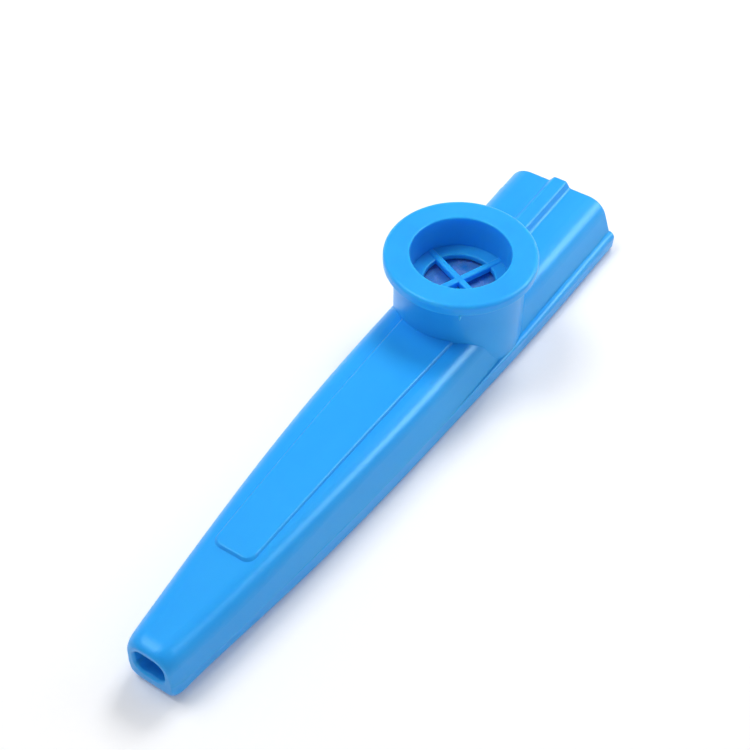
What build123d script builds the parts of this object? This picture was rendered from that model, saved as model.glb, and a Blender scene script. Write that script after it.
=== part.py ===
from build123d import *
import os
from math import cos, radians, sin, tan

os.makedirs("parts", exist_ok=True)

# A moulded toy kazoo, in millimetres. It lies along X, with the mouth at -X and the tail at +X, and rests on its
# flat underside at Z = 0. Places along it are given as distances from the mouth tip.

# Overall
length = 120.0
wall = 1.2
seam_height = 4.0            # level where the two halves meet
side_draft = 3.0             # lean of the lower shell's sides, in degrees
underside_trim = 0.02        # cut off the lower shell to make its underside flat

# Mouth tip: an oval air hole in a rounded nose
hole_width = 5.4
hole_height = 5.2
hole_corner = 1.8
hole_level = 5.7             # height of the hole's centre
hole_round = 0.5            # rounding of its outer edge
tip_half_width = 3.8         # flat end round the hole
tip_top = 9.3
tip_bottom = 1.8
tip_lower_edge = 1.3         # rounding of its lower corners
nose_run = 2.4               # length over which the nose rounds off
nose_steps = 10              # narrow bands that make up its rounding
air_passage = 9.0            # straight hole before the hollow widens
entry_corner = 0.5           # rounding of the corners where it widens
hollow_corner = 1.0          # rounding of the hollow's lower corners

# Cross-sections along the body. Each stands at its share of the length, counted from the mouth. Above the seam the
# sides lean in by "lean" degrees and a round shoulder joins them to the top. Below it they end in a rounded edge.
mouth_half_width = 4.75
mouth_top = 10.2
mouth_shoulder = 3.1
mouth_lean = 4.0
mouth_lower_edge = 1.9

front_at = length * 0.183
front_half_width = 7.1
front_top = 10.5
front_shoulder = 3.1
front_lean = 8.0
front_lower_edge = 1.6

middle_at = length * 0.383
middle_half_width = 9.3
middle_top = 11.0
middle_shoulder = 3.0
middle_lean = 12.5

waist_at = length * 0.542
waist_half_width = 10.5
waist_top = 10.8
waist_shoulder = 3.2
waist_lean = 16.0

turret_at = length * 0.697
turret_half_width = 11.5
turret_top = 10.45
turret_shoulder = 3.5
turret_lean = 16.5

rear_at = length * 0.842
rear_half_width = 12.1
rear_top = 10.25
rear_shoulder = 3.8
rear_lean = 17.5

tail_half_width = 12.4
tail_top = 10.1
tail_shoulder = 4.0
tail_lean = 19.0
tail_lower_edge = 1.0
tail_rounding = 0.35         # rounding of the tail's outer edges

# The lower shell stands out past the upper one as a rounded ledge, from the waist to the tail
waist_ledge = 0.1
turret_ledge = 0.85
tail_ledge = 1.3
seam_groove = 0.12           # rounding of the rim where the halves are flush
turret_rim = 0.5             # rounding of the rim at the turret
tail_rim = 1.1              # and behind it

# Tongue on the lower shell's rim that locates the upper shell
tongue_thickness = 0.45
tongue_height = 0.8
tongue_clearance = 0.06
tongue_start = length * 0.217
tongue_tail_gap = 2.0

# Raised panel on top, from behind the mouth to the turret, measured at its foot
panel_start = length * 0.163
panel_front_half_width = 3.55
panel_middle_half_width = 4.4
panel_back_half_width = 5.2
panel_step = 0.45
panel_slope = 35.0           # lean of the panel's edge, in degrees
panel_corner = 1.6
panel_round = 0.3            # rounding of its upper edge

# Spine ridge from the turret to the tail
spine_half_width = 2.2
spine_top_half_width = 1.25
spine_height = 1.25
spine_round = 0.6
spine_foot_round = 0.8       # hollow rounding where the spine meets the top
spine_foot_reach = 0.7       # and how far its edge lies outside the spine
spine_sink = 0.03

# Turret tube and the shelf for the film
turret_radius = 11.2
turret_wall = 1.25
turret_height = 19.0         # level of the turret's rim
shelf_depth = 5.8            # from the turret's rim down to the shelf
shelf_width = 0.95

# Film disc
film_thickness = 0.08
film_edge_gap = 0.15
film_clearance = 0.02

# Cap pushed into the turret
cap_fit = 0.05               # radial clearance of the plug in the turret
flange_radius = 13.05
flange_thickness = 2.0
flange_round = 0.7
flange_underside_round = 0.3
cap_bore_radius = 8.55
bore_round = 0.25
plug_round = 0.35
guard_depth = 6.3            # from the flange's top to the guard ring
guard_thickness = 0.95
guard_hole_radius = 6.15
guard_round = 0.2            # rounding of the guard's upper edges
bar_width = 1.2
bar_thickness = 1.2
bar_rise = 0.25              # height of the bars above the guard ring
bar_round = 0.35
bar_angle = -23.0            # turn of the X from the body's length, in degrees

# Worked out from the sizes above
turret_bore_radius = turret_radius - turret_wall
film_bore_radius = turret_bore_radius - shelf_width
shelf_level = turret_height - shelf_depth
turret_x = turret_at - length / 2
middle_lower_edge = tail_lower_edge


def place(distance):
    """The X coordinate of a place that lies this far from the mouth tip."""
    return distance - length / 2


def section_plane(distance):
    """An upright plane across the body: its own x is the object's Y and its own y is the object's Z."""
    return Plane(origin=(place(distance), 0, 0), x_dir=(0, 1, 0), z_dir=(1, 0, 0))


def rounded_face(plane, corners):
    """A face on the plane from (x, y, radius) corners in order; a zero radius leaves the corner sharp."""
    points = [Vector(x, y) for x, y, radius in corners]
    count = len(corners)
    arcs = []
    for index, (x, y, radius) in enumerate(corners):
        here = points[index]
        back = (points[index - 1] - here).normalized()
        ahead = (points[(index + 1) % count] - here).normalized()
        half_angle = radians(back.get_angle(ahead)) / 2
        start = here + back * (radius / tan(half_angle))
        stop = here + ahead * (radius / tan(half_angle))
        crown = here + (back + ahead).normalized() * (radius / sin(half_angle) - radius)
        arcs.append((start, crown, stop))
    edges = []
    for index, (start, crown, stop) in enumerate(arcs):
        if corners[index][2] > 0:
            edges.append(Edge.make_three_point_arc(start, crown, stop))
        edges.append(Edge.make_line(stop, arcs[(index + 1) % count][0]))
    return plane.location * Face(Wire(edges))


def mirrored(right_side):
    """The whole outline from its right half, listed from the bottom up."""
    return right_side + [(-x, y, radius) for x, y, radius in reversed(right_side)]


class Section:
    """One cross-section of the body."""

    def __init__(self, at, half_width, top, shoulder, lean, lower_edge, ledge=0.0, rim=seam_groove, bottom=0.0):
        self.at = at
        self.half_width = half_width
        self.top = top
        self.shoulder = shoulder
        self.lean = lean
        self.lower_edge = lower_edge
        self.shell_half_width = half_width - ledge
        self.rim = rim
        self.bottom = bottom

    def upper(self, raised=0.0):
        """Upper shell's outline, from the seam to the top."""
        crest = self.shell_half_width - (self.top - seam_height) * tan(radians(self.lean))
        right = [(self.shell_half_width, seam_height, 0), (crest, self.top + raised, self.shoulder)]
        return rounded_face(section_plane(self.at), mirrored(right))

    def lower(self):
        """Lower shell's outline, from just below the underside to the seam."""
        base = self.bottom - underside_trim
        foot = self.half_width - (seam_height - base) * tan(radians(side_draft))
        right = [(foot, base, self.lower_edge), (self.half_width, seam_height, self.rim)]
        return rounded_face(section_plane(self.at), mirrored(right))

    def hollow(self, overrun=0.0):
        """Outline of the air way inside, one wall in from the upper shell's sides."""
        return hollow_face(
            self.at + overrun, self.shell_half_width - wall, wall, self.top - wall, self.lean, hollow_corner,
            self.shoulder - wall)


def hollow_face(at, half_width, floor, ceiling, lean, lower_corner, upper_corner):
    """Outline of the air way, with sides that are upright below the seam and lean in above it."""
    crest = half_width - (ceiling - seam_height) * tan(radians(lean))
    right = [(half_width, floor, lower_corner), (half_width, seam_height, 0), (crest, ceiling, upper_corner)]
    return rounded_face(section_plane(at), mirrored(right))


def front_section(at, short=0.0):
    """A section in front of the front mark; the nose falls short of the straight taper by this share."""

    def along(mouth_size, front_size, distance):
        return mouth_size + (front_size - mouth_size) * (distance - nose_run) / (front_at - nose_run)

    side_overhang = along(mouth_half_width, front_half_width, 0) - tip_half_width
    top_overhang = along(mouth_top, front_top, 0) - tip_top
    return Section(
        at,
        along(mouth_half_width, front_half_width, at) - side_overhang * short,
        along(mouth_top, front_top, at) - top_overhang * short,
        along(mouth_shoulder, front_shoulder, at),
        along(mouth_lean, front_lean, at),
        along(mouth_lower_edge, front_lower_edge, at) + (tip_lower_edge - mouth_lower_edge) * short,
        bottom=tip_bottom * short ** 2)


# The nose follows a quarter turn from the tip to the straight taper
turns = [radians(90 * step / nose_steps) for step in range(nose_steps + 1)]
nose = [front_section(nose_run * (1 - cos(turn)), 1 - sin(turn)) for turn in turns]
mouth = nose[-1]
front = Section(front_at, front_half_width, front_top, front_shoulder, front_lean, front_lower_edge)
middle = Section(middle_at, middle_half_width, middle_top, middle_shoulder, middle_lean, middle_lower_edge)
waist = Section(
    waist_at, waist_half_width, waist_top, waist_shoulder, waist_lean, tail_lower_edge, waist_ledge)
turret = Section(
    turret_at, turret_half_width, turret_top, turret_shoulder, turret_lean, tail_lower_edge, turret_ledge,
    turret_rim)
rear = Section(
    rear_at, rear_half_width, rear_top, rear_shoulder, rear_lean, tail_lower_edge, tail_ledge, tail_rim)
tail = Section(
    length, tail_half_width, tail_top, tail_shoulder, tail_lean, tail_lower_edge, tail_ledge, tail_rim)
body = [mouth, front, middle, waist, turret, rear, tail]


# The air way: a rounded hole at the mouth that widens into the hollow body and is open at the tail
def air_way():
    outline = RectangleRounded(hole_width, hole_height, hole_corner)
    hole = section_plane(0) * (Pos(0, hole_level) * outline)
    passage = extrude(hole, amount=air_passage + wall, dir=(1, 0, 0))
    entry = hollow_face(
        air_passage, hole_width / 2, hole_level - hole_height / 2, hole_level + hole_height / 2, mouth_lean,
        entry_corner, entry_corner)
    stretch = [section.hollow() for section in (front, middle, waist, turret, rear)]
    return passage + loft([entry] + stretch + [tail.hollow(overrun=wall)])


# The hole's outer edge on one half, without the edges that lie in the seam
def hole_edges(solid):
    at_tip = solid.edges().filter_by(lambda edge: edge.center().X < place(hole_round / 2))
    inside = at_tip.filter_by(lambda edge: abs(edge.center().Y) < hole_width / 2 + hole_round / 2)
    low = hole_level - hole_height / 2 - hole_round / 2
    high = hole_level + hole_height / 2 + hole_round / 2
    inside = inside.filter_by(lambda edge: low < edge.center().Z < high)
    return inside.filter_by(lambda edge: abs(edge.center().Z - seam_height) > hole_round / 4)


# Plan outline of the hollow at the seam, grown sideways, for the tongue and its groove
def seam_plan(growth, start, stop):
    side = [(place(mark.at), mark.shell_half_width - wall + growth) for mark in body[1:]]
    left = Spline(*side)
    right = Spline(*[(x, -y) for x, y in side])
    outline = make_face([left, right, Line(left @ 0, right @ 0), Line(left @ 1, right @ 1)])
    window = Pos((place(start) + place(stop)) / 2, 0) * Rectangle(stop - start, 4 * tail_half_width)
    return outline & window


# The outer edges at the tail, without the ones that lie in the seam
def tail_edges(solid):
    at_tail = solid.edges().filter_by(lambda edge: edge.center().X > place(length) - tail_rounding)
    return at_tail.filter_by(lambda edge: abs(edge.center().Z - seam_height) > tail_rounding)


# Lower shell: a tray with the locating tongue standing on its rim
def lower_shell(air):
    tray = loft([section.lower() for section in body])
    tray = fillet(tail_edges(tray), tail_rounding) + loft([section.lower() for section in nose], ruled=True)
    root = Pos(0, 0, seam_height - wall / 2)
    tongue = extrude(
        root * seam_plan(tongue_thickness, tongue_start, length - tongue_tail_gap),
        amount=tongue_height + wall / 2)
    below = Box(2 * length, 4 * tail_half_width, wall, align=(Align.CENTER, Align.CENTER, Align.MAX))
    tray = tray - air - below
    return fillet(hole_edges(tray), hole_round) + (tongue - air)


# Raised panel on top: its sloped sides run from the foot up through the top surface
def panel():
    marks = [(panel_start, panel_front_half_width, front_top),
             (middle_at, panel_middle_half_width, middle_top),
             (turret_at, panel_back_half_width, turret_top)]

    def outline(level):
        inset = [(level - top) * tan(radians(panel_slope)) for at, half, top in marks]
        side = [(place(at), half - shrink) for (at, half, top), shrink in zip(marks, inset)]
        side[0] = (side[0][0] + inset[0], side[0][1])
        left = Spline(*side)
        right = Spline(*[(x, -y) for x, y in side])
        ends = [Line(left @ 0, right @ 0), Line(left @ 1, right @ 1)]
        face = make_face([left, right] + ends)
        front_corners = face.vertices().sort_by(Axis.X)[:2]
        return Pos(0, 0, level) * fillet(front_corners, panel_corner)

    prism = loft([outline(front_top - panel_step), outline(middle_top + 2 * panel_step)], ruled=True)
    raised = loft([section.upper(panel_step) for section in body[:5]])
    board = raised & prism
    upper_edges = board.edges().filter_by(lambda edge: edge.center().Z > front_top + panel_step / 2)
    outer = upper_edges.filter_by(lambda edge: edge.center().X < turret_x - panel_corner)
    return fillet(outer, panel_round)


# Spine: a rounded ridge along the top, from inside the turret to the tail
def spine():
    def ridge(section):
        foot_half_width = spine_half_width + spine_foot_reach
        foot = section.top - spine_sink
        right = [(foot_half_width, section.top - wall / 2, 0),
                 (foot_half_width, foot, 0),
                 (spine_half_width, foot, spine_foot_round),
                 (spine_top_half_width, section.top + spine_height, spine_round)]
        return rounded_face(section_plane(section.at), mirrored(right))

    return loft([ridge(turret), ridge(rear), ridge(tail)])


def turret_tube():
    height = turret_height - seam_height
    bottom = (Align.CENTER, Align.CENTER, Align.MIN)
    return Pos(turret_x, 0, seam_height) * Cylinder(turret_radius, height, align=bottom)


def turret_bores():
    bottom = (Align.CENTER, Align.CENTER, Align.MIN)
    film_seat = Pos(turret_x, 0, shelf_level) * Cylinder(turret_bore_radius, turret_height, align=bottom)
    below = Pos(turret_x, 0, seam_height + wall) * Cylinder(film_bore_radius, turret_height, align=bottom)
    return film_seat + below


# Upper shell: the top half with the panel, the spine and the turret moulded on
def upper_shell(air):
    shell = loft([section.upper() for section in body]) + spine()
    shell = fillet(tail_edges(shell), tail_rounding) + loft([section.upper() for section in nose], ruled=True)
    groove = extrude(
        Pos(0, 0, seam_height) * seam_plan(
            tongue_thickness + tongue_clearance, tongue_start - tongue_clearance,
            length - tongue_tail_gap + tongue_clearance),
        amount=tongue_height + tongue_clearance)
    shell = shell + panel() + turret_tube() - air - turret_bores() - groove
    return fillet(hole_edges(shell), hole_round)


# Turret cap: a flanged ring turned about the turret's axis, with the X guard across its bore
def turret_cap():
    plug_radius = turret_bore_radius - cap_fit
    plug_bottom = shelf_level + film_thickness + film_clearance
    flange_top = turret_height + flange_thickness
    guard_top = flange_top - guard_depth
    guard_bottom = guard_top - guard_thickness
    profile = rounded_face(Plane.XZ, [
        (cap_bore_radius, flange_top, bore_round),
        (flange_radius, flange_top, flange_round),
        (flange_radius, turret_height, flange_underside_round),
        (plug_radius, turret_height, 0),
        (plug_radius, plug_bottom, plug_round),
        (cap_bore_radius, plug_bottom, 0),
        (cap_bore_radius, guard_bottom, 0),
        (guard_hole_radius, guard_bottom, 0),
        (guard_hole_radius, guard_top, guard_round),
        (cap_bore_radius, guard_top, 0)])
    ring = revolve(profile, axis=Axis.Z)
    reach = cap_bore_radius + plug_radius
    bottom = (Align.CENTER, Align.CENTER, Align.MIN)
    bar = Box(reach, bar_width, bar_thickness, align=bottom)
    bar = fillet(bar.edges().filter_by(Axis.X).group_by(Axis.Z)[-1], bar_round)
    cross = bar + Rot(0, 0, 90) * bar
    bar_foot = guard_top + bar_rise - bar_thickness
    return Pos(turret_x, 0, 0) * (ring + Pos(0, 0, bar_foot) * Rot(0, 0, bar_angle) * cross)


# Membrane: the film disc that lies on the turret's shelf
def membrane():
    bottom = (Align.CENTER, Align.CENTER, Align.MIN)
    radius = turret_bore_radius - film_edge_gap
    return Pos(turret_x, 0, shelf_level) * Cylinder(radius, film_thickness, align=bottom)


air = air_way()
export_step(lower_shell(air), "parts/lower_shell.step")
export_step(upper_shell(air), "parts/upper_shell.step")
export_step(turret_cap(), "parts/turret_cap.step")
export_step(membrane(), "parts/membrane.step")
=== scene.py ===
import bpy
from math import cos, pi, radians, sin
from mathutils import Matrix, Vector


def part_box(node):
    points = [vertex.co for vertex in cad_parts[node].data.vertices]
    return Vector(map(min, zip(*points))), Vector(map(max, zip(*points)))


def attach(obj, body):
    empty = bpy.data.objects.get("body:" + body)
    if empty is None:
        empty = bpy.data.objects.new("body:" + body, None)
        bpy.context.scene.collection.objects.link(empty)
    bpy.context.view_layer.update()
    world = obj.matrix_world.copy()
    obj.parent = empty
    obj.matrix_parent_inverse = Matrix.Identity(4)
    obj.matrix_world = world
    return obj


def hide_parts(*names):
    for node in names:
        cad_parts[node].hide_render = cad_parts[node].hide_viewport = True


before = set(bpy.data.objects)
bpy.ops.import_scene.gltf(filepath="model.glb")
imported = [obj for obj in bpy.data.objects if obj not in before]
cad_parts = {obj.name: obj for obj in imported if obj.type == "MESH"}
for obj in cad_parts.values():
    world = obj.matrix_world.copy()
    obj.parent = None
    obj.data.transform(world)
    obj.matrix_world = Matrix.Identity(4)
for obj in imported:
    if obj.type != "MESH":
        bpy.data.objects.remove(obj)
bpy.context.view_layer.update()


# Lower shell. The shallow tray that closes the air way from below, injection moulded in sky-blue plastic
# that lets a little light through. Its rim stands out as a rounded ledge beside the upper shell, to which
# it is glued at the seam.
def moulded_blue(name, deep, bright, flow, polish, glow, glow_depth):
    """Satin-gloss plastic: colour that drifts along the flow, fine mould grain, and a polish that varies."""
    material = bpy.data.materials.new(name)
    material.use_nodes = True
    nodes, links = material.node_tree.nodes, material.node_tree.links
    plastic = nodes["Principled BSDF"]
    plastic.inputs["IOR"].default_value = 1.49
    plastic.inputs["Specular IOR Level"].default_value = 0.50
    plastic.inputs["Specular Tint"].default_value = (0.50, 0.92, 1.0, 1.0)
    plastic.inputs["Subsurface Weight"].default_value = glow
    plastic.inputs["Subsurface Radius"].default_value = (0.3, 0.8, 1.0)
    plastic.inputs["Subsurface Scale"].default_value = glow_depth

    place = nodes.new("ShaderNodeTexCoord")
    stretch = nodes.new("ShaderNodeMapping")
    stretch.inputs["Scale"].default_value = flow
    links.new(place.outputs["Object"], stretch.inputs["Vector"])

    drift = nodes.new("ShaderNodeTexNoise")
    drift.inputs["Scale"].default_value = 60.0
    drift.inputs["Detail"].default_value = 4.0
    links.new(stretch.outputs["Vector"], drift.inputs["Vector"])
    tint = nodes.new("ShaderNodeValToRGB")
    tint.color_ramp.elements[0].position = 0.30
    tint.color_ramp.elements[0].color = (*deep, 1.0)
    tint.color_ramp.elements[1].position = 0.72
    tint.color_ramp.elements[1].color = (*bright, 1.0)
    links.new(drift.outputs["Fac"], tint.inputs["Fac"])
    links.new(tint.outputs["Color"], plastic.inputs["Base Color"])

    handling = nodes.new("ShaderNodeTexNoise")
    handling.inputs["Scale"].default_value = 90.0
    handling.inputs["Detail"].default_value = 2.0
    links.new(place.outputs["Object"], handling.inputs["Vector"])
    sheen = nodes.new("ShaderNodeMapRange")
    sheen.inputs["From Min"].default_value = 0.30
    sheen.inputs["From Max"].default_value = 0.70
    sheen.inputs["To Min"].default_value = polish[0]
    sheen.inputs["To Max"].default_value = polish[1]
    links.new(handling.outputs["Fac"], sheen.inputs["Value"])
    links.new(sheen.outputs["Result"], plastic.inputs["Roughness"])

    grain = nodes.new("ShaderNodeTexNoise")
    grain.inputs["Scale"].default_value = 5200.0
    grain.inputs["Detail"].default_value = 3.0
    links.new(place.outputs["Object"], grain.inputs["Vector"])
    ripple = nodes.new("ShaderNodeBump")
    ripple.inputs["Strength"].default_value = 0.12
    ripple.inputs["Distance"].default_value = 0.00004
    links.new(grain.outputs["Fac"], ripple.inputs["Height"])
    links.new(ripple.outputs["Normal"], plastic.inputs["Normal"])
    return material


shell_deep, shell_bright = (0.018, 0.360, 0.92), (0.027, 0.410, 0.98)
shell_polish = (0.30, 0.35)
shell_glow, shell_glow_depth = 0.30, 0.0012
tray_plastic = moulded_blue(
    "tray_plastic", shell_deep, shell_bright, flow=(0.35, 1.0, 1.0), polish=shell_polish,
    glow=shell_glow, glow_depth=shell_glow_depth)
lower_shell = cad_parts["lower_shell"]
lower_shell.data.materials.clear()
lower_shell.data.materials.append(tray_plastic)


# Upper shell. The top half of the body in the same plastic, moulded in one piece with the raised panel,
# the spine ridge behind and the turret tube. It is glued to the tray along the seam.
body_plastic = moulded_blue(
    "body_plastic", shell_deep, shell_bright, flow=(0.25, 1.0, 1.0), polish=shell_polish,
    glow=shell_glow, glow_depth=shell_glow_depth)
upper_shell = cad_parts["upper_shell"]
upper_shell.data.materials.clear()
upper_shell.data.materials.append(body_plastic)


# Turret cap. A flanged ring with the X guard moulded across its bore, in the same blue plastic. It is
# pressed into the turret by hand and pulled out again to change the film.
# The cap's colours are set a little lighter than the shells': painted light, standing in for the stronger
# light on the raised flange.
cap_plastic = moulded_blue(
    "cap_plastic", deep=(0.021, 0.385, 0.93), bright=(0.030, 0.435, 0.98), flow=(1.0, 1.0, 1.0),
    polish=(0.32, 0.38), glow=0.85, glow_depth=0.0022)
turret_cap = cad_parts["turret_cap"]
turret_cap.data.materials.clear()
turret_cap.data.materials.append(cap_plastic)


# Gate mark. The little stub that stays under the cap's flange where the plastic ran into the mould, at the
# edge that faces the mouth and the right. It is one piece with the cap and was broken off, not trimmed.
cap_low, cap_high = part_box("turret_cap")
cap_centre = (cap_low + cap_high) / 2
flange_radius = (cap_high.x - cap_low.x) / 2
flange_thickness = 0.0020
flange_underside = cap_high.z - flange_thickness
gate_inset = 0.00020
gate_turn = radians(211)
gate_sides = 16
gate_levels_and_radii = [(0.00020, 0.00026), (-0.00035, 0.00023), (-0.00080, 0.00018), (-0.00105, 0.00010)]
gate_x = cap_centre.x + (flange_radius - gate_inset) * cos(gate_turn)
gate_y = cap_centre.y + (flange_radius - gate_inset) * sin(gate_turn)
gate_points = []
for gate_level, gate_radius in gate_levels_and_radii:
    for side in range(gate_sides):
        turn = 2 * pi * side / gate_sides
        gate_points.append((
            gate_x + gate_radius * cos(turn),
            gate_y + gate_radius * sin(turn),
            flange_underside + gate_level))
gate_root = tuple(range(gate_sides))
gate_tip = tuple(reversed(range(len(gate_points) - gate_sides, len(gate_points))))
gate_faces = [gate_root, gate_tip]
for ring in range(len(gate_levels_and_radii) - 1):
    upper, lower = ring * gate_sides, (ring + 1) * gate_sides
    for side in range(gate_sides):
        after = (side + 1) % gate_sides
        gate_faces.append((upper + side, lower + side, lower + after, upper + after))
gate_mesh = bpy.data.meshes.new("gate_mark")
gate_mesh.from_pydata(gate_points, [], gate_faces)
gate_mesh.shade_smooth()
gate_mesh.materials.append(cap_plastic)
gate_mark = bpy.data.objects.new("gate_mark", gate_mesh)
bpy.context.scene.collection.objects.link(gate_mark)
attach(gate_mark, "cap")


# Film. A disc cut from thin translucent plastic film, clamped at its edge between the turret's shelf and
# the cap. It is loose enough to buzz, so it sags a little and has faint folds.
film_low, film_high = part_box("membrane")
film_centre = (film_low + film_high) / 2
film_radius = (film_high.x - film_low.x) / 2
film_thickness = 0.00004
film_rings, film_spokes = 24, 96
film_clamped = 0.82
film_sag = 0.00025
film_fold = 0.00007
film_fold_waves = [(1.0, 3, 0.6), (0.6, 5, 2.1), (0.3, 8, 4.0)]


def film_level(share, turn):
    """Height of the film over its clamped edge, at a share of its radius and a turn about its axis."""
    loose = max(0.0, 1 - share / film_clamped)
    bowl = -film_sag * (1 - (1 - loose) ** 2)
    folds = sum(height * sin(count * turn + start) for height, count, start in film_fold_waves)
    return bowl + film_fold * folds * share * min(1.0, 2 * loose)


film_points = [(film_centre.x, film_centre.y, film_centre.z + film_level(0.0, 0.0))]
for ring in range(1, film_rings + 1):
    for spoke in range(film_spokes):
        share, turn = ring / film_rings, 2 * pi * spoke / film_spokes
        film_points.append((
            film_centre.x + film_radius * share * cos(turn),
            film_centre.y + film_radius * share * sin(turn),
            film_centre.z + film_level(share, turn)))
film_faces = [(0, 1 + spoke, 1 + (spoke + 1) % film_spokes) for spoke in range(film_spokes)]
for ring in range(film_rings - 1):
    inner, outer = 1 + ring * film_spokes, 1 + (ring + 1) * film_spokes
    for spoke in range(film_spokes):
        after = (spoke + 1) % film_spokes
        film_faces.append((inner + spoke, outer + spoke, outer + after, inner + after))
film_mesh = bpy.data.meshes.new("film")
film_mesh.from_pydata(film_points, [], film_faces)
film_mesh.shade_smooth()
film = bpy.data.objects.new("film", film_mesh)
bpy.context.scene.collection.objects.link(film)
film_gauge = film.modifiers.new("film_gauge", "SOLIDIFY")
film_gauge.thickness = film_thickness
film_gauge.offset = 0.0

film_plastic = bpy.data.materials.new("film_plastic")
film_plastic.use_nodes = True
nodes, links = film_plastic.node_tree.nodes, film_plastic.node_tree.links
clear = nodes["Principled BSDF"]
clear.inputs["IOR"].default_value = 1.50
clear.inputs["Alpha"].default_value = 0.42
place = nodes.new("ShaderNodeTexCoord")
clouds = nodes.new("ShaderNodeTexNoise")
clouds.inputs["Scale"].default_value = 420.0
clouds.inputs["Detail"].default_value = 5.0
links.new(place.outputs["Object"], clouds.inputs["Vector"])
# The film's blue is painted light: it stands in for the blue of the turret's walls seen through the film and
# thrown onto it. The lighter patches come at random.
milk_and_blue_bounce = nodes.new("ShaderNodeValToRGB")
milk_and_blue_bounce.color_ramp.elements[0].position = 0.35
milk_and_blue_bounce.color_ramp.elements[0].color = (0.03, 0.32, 0.90, 1.0)
milk_and_blue_bounce.color_ramp.elements[1].position = 0.70
milk_and_blue_bounce.color_ramp.elements[1].color = (0.22, 0.46, 0.96, 1.0)
links.new(clouds.outputs["Fac"], milk_and_blue_bounce.inputs["Fac"])
links.new(milk_and_blue_bounce.outputs["Color"], clear.inputs["Base Color"])
haze = nodes.new("ShaderNodeMapRange")
haze.inputs["To Min"].default_value = 0.16
haze.inputs["To Max"].default_value = 0.30
links.new(clouds.outputs["Fac"], haze.inputs["Value"])
links.new(haze.outputs["Result"], clear.inputs["Roughness"])
crinkle = nodes.new("ShaderNodeBump")
crinkle.inputs["Strength"].default_value = 0.25
crinkle.inputs["Distance"].default_value = 0.00006
links.new(clouds.outputs["Fac"], crinkle.inputs["Height"])
links.new(crinkle.outputs["Normal"], clear.inputs["Normal"])
film_mesh.materials.append(film_plastic)
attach(film, "film")
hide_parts("membrane")


# Floor. The plain sheet of matt white paper that the kazoo lies on. It keeps the soft shadows beside the
# body, and a little lift where it is seen or mirrored keeps it white elsewhere.
floor_reach = 12.0
floor_corners = [
    (-floor_reach, -floor_reach, 0), (floor_reach, -floor_reach, 0),
    (floor_reach, floor_reach, 0), (-floor_reach, floor_reach, 0)]
floor_mesh = bpy.data.meshes.new("floor")
floor_mesh.from_pydata(floor_corners, [], [(0, 1, 2, 3)])
floor = bpy.data.objects.new("floor", floor_mesh)
bpy.context.scene.collection.objects.link(floor)
paper = bpy.data.materials.new("paper")
paper.use_nodes = True
nodes, links = paper.node_tree.nodes, paper.node_tree.links
sheet = nodes["Principled BSDF"]
sheet.inputs["Roughness"].default_value = 0.7
sheet.inputs["Specular IOR Level"].default_value = 0.2
sheet.inputs["Emission Color"].default_value = (1.0, 1.0, 1.0, 1.0)
place = nodes.new("ShaderNodeTexCoord")
fibre = nodes.new("ShaderNodeTexNoise")
fibre.inputs["Scale"].default_value = 900.0
links.new(place.outputs["Object"], fibre.inputs["Vector"])
white = nodes.new("ShaderNodeValToRGB")
white.color_ramp.elements[0].color = (0.91, 0.91, 0.92, 1.0)
white.color_ramp.elements[1].color = (0.93, 0.93, 0.94, 1.0)
links.new(fibre.outputs["Fac"], white.inputs["Fac"])
links.new(white.outputs["Color"], sheet.inputs["Base Color"])
seen = nodes.new("ShaderNodeLightPath")
seen_or_mirrored = nodes.new("ShaderNodeMath")
seen_or_mirrored.operation = "MAXIMUM"
links.new(seen.outputs["Is Camera Ray"], seen_or_mirrored.inputs[0])
links.new(seen.outputs["Is Glossy Ray"], seen_or_mirrored.inputs[1])
shown = nodes.new("ShaderNodeMath")
shown.operation = "MAXIMUM"
links.new(seen_or_mirrored.outputs["Value"], shown.inputs[0])
links.new(seen.outputs["Is Transmission Ray"], shown.inputs[1])
away = nodes.new("ShaderNodeVectorMath")
away.operation = "LENGTH"
links.new(place.outputs["Object"], away.inputs[0])
lift = nodes.new("ShaderNodeMapRange")
lift.inputs["From Min"].default_value = 0.12
lift.inputs["From Max"].default_value = 0.60
lift.inputs["To Min"].default_value = 0.06
lift.inputs["To Max"].default_value = 1.0
links.new(away.outputs["Value"], lift.inputs["Value"])
lifted = nodes.new("ShaderNodeMath")
lifted.operation = "MULTIPLY"
links.new(shown.outputs["Value"], lifted.inputs[0])
links.new(lift.outputs["Result"], lifted.inputs[1])
links.new(lifted.outputs["Value"], sheet.inputs["Emission Strength"])
floor_mesh.materials.append(paper)


# Light. A soft box overhead on the left, a smaller one behind the tail that throws the flange's shadow on
# the panel, a long slanted one at the right, and a strip seen only in the gloss along the right shoulder.
# The white surround is brighter near the floor than above, like the walls of a tent.
def soft_box(name, at, aim, width, depth, turn, power):
    """A rectangular lamp that faces a point, turned about its own axis by some degrees."""
    lamp = bpy.data.lights.new(name, "AREA")
    lamp.shape = "RECTANGLE"
    lamp.size = width
    lamp.size_y = depth
    lamp.energy = power
    box = bpy.data.objects.new(name, lamp)
    bpy.context.scene.collection.objects.link(box)
    facing = (Vector(aim) - Vector(at)).to_track_quat("-Z", "Y").to_matrix().to_4x4()
    box.matrix_world = Matrix.Translation(at) @ facing @ Matrix.Rotation(radians(turn), 4, "Z")
    return box


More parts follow.
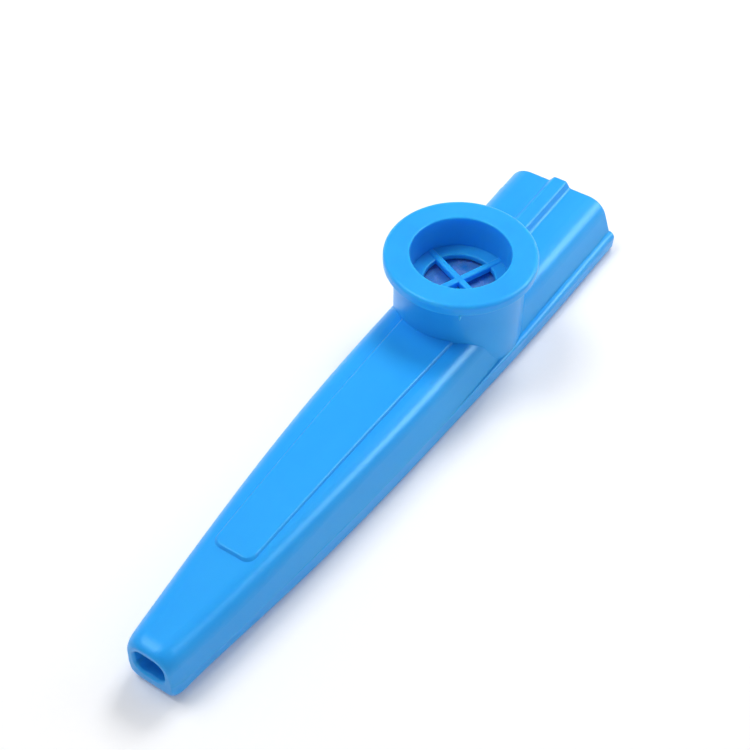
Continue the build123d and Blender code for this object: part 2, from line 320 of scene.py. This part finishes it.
soft_box(
    "overhead_box", at=(-0.08, 0.27, 0.585), aim=(0.0, 0.0, 0.01),
    width=0.26, depth=0.26, turn=0.0, power=1.6)
back_box = soft_box(
    "back_box", at=(0.262, 0.022, 0.385), aim=(0.01, 0.0, 0.01),
    width=0.17, depth=0.17, turn=0.0, power=0.95)
back_box.visible_glossy = False
soft_box(
    "right_box", at=(0.65, -0.38, 0.70), aim=(0.03, 0.0, 0.01),
    width=1.35, depth=0.42, turn=44.4, power=1.6)
edge_box = soft_box(
    "edge_box", at=(0.555, -0.572, 0.604), aim=(0.0, 0.0, 0.01),
    width=0.60, depth=0.40, turn=-25.4, power=6.4)
edge_box.visible_diffuse = False

surround = bpy.data.worlds.new("surround")
bpy.context.scene.world = surround
surround.use_nodes = True
nodes, links = surround.node_tree.nodes, surround.node_tree.links
toward = nodes.new("ShaderNodeTexCoord")
height = nodes.new("ShaderNodeSeparateXYZ")
links.new(toward.outputs["Generated"], height.inputs["Vector"])
walls = nodes.new("ShaderNodeValToRGB")
walls.color_ramp.elements[0].position = 0.0
walls.color_ramp.elements[0].color = (1.0, 1.0, 1.0, 1.0)
walls.color_ramp.elements[1].position = 0.60
walls.color_ramp.elements[1].color = (0.32, 0.32, 0.32, 1.0)
walls.color_ramp.elements.new(0.12).color = (0.55, 0.55, 0.55, 1.0)
links.new(height.outputs["Z"], walls.inputs["Fac"])
links.new(walls.outputs["Color"], nodes["Background"].inputs["Color"])


# Camera. It stands in front of the mouth end, to the right, and looks down at the body, which runs from
# the lower left to the upper right of the picture.
lens_length = 68.17
view_turn, view_rise, view_roll = radians(-56.13), radians(48.03), radians(-0.17)
view_centre = Vector((0.0002, 0.0, 0.00997))
view_shift_right, view_shift_up = -0.00131, 0.00141
view_distance = 0.23157
lens = bpy.data.cameras.new("camera")
lens.sensor_width = 36.0
lens.lens = lens_length
lens.clip_start = 0.01
camera = bpy.data.objects.new("camera", lens)
bpy.context.scene.collection.objects.link(camera)
bpy.context.scene.camera = camera
back = Vector((sin(view_turn) * cos(view_rise), -cos(view_turn) * cos(view_rise), sin(view_rise)))
level = Vector((cos(view_turn), sin(view_turn), 0.0))
rise = back.cross(level)
right = cos(view_roll) * level + sin(view_roll) * rise
up = cos(view_roll) * rise - sin(view_roll) * level
standpoint = view_centre + view_shift_right * right + view_shift_up * up + view_distance * back
camera.matrix_world = Matrix.Translation(standpoint) @ Matrix((right, up, back)).transposed().to_4x4()
bpy.context.scene.view_settings.view_transform = "Standard"
